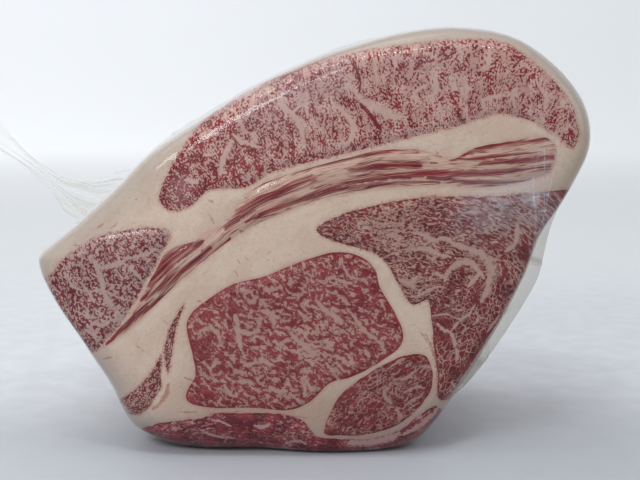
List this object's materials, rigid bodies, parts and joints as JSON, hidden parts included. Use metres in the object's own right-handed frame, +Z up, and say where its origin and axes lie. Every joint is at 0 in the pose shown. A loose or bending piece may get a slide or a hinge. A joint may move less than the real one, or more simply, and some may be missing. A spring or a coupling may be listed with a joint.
{
  "type": "vacuum-packed marbled beef rib block",
  "caption": "Block of marbled beef cut square across the rib end, standing on its rib side, skin-tight in a clear vacuum bag with a gathered tail.",
  "frame": {"origin": "on the table, under the middle of the front cut face's width and midway between the two cut faces", "axes": "+Z up, +X to the right as seen from the front, +Y from the front cut face to the back one"},
  "size_m": [0.3398, 0.1738, 0.2225],
  "materials": {
    "cap_muscle": "pale red lean with close fat marbling, wet gloss under film",
    "flank_muscle": "pale red lean in lobes parted by fat, wet gloss under film",
    "layered_muscle": "thin dark red layers between fat, wet gloss under film",
    "eye_muscle": "deep red lean with worm-like fat flecks, wet gloss under film",
    "side_muscle": "deep red lean with a fine net of fat, wet gloss under film",
    "lower_muscle": "deep red lean with a fine net of fat, wet gloss under film",
    "rib_muscle": "dark red lean with faint marbling, wet gloss under film",
    "sliver_muscle": "red lean with fine marbling, wet gloss under film",
    "fat": "creamy white beef fat, smooth, gloss under film",
    "clear_film": "clear thin film, glossy"
  },
  "bodies": {
    "root": {"cap_muscle": "cap_muscle", "flank_muscle": "flank_muscle", "layered_muscle": "layered_muscle", "eye_muscle": "eye_muscle", "side_muscle": "side_muscle", "lower_muscle": "lower_muscle", "rib_muscle": "rib_muscle", "upper_sliver": "sliver_muscle", "lower_sliver": "sliver_muscle", "fat": "fat", "bag_tail": "clear_film", "bag_bridge": "clear_film"}
  },
  "joints": []
}
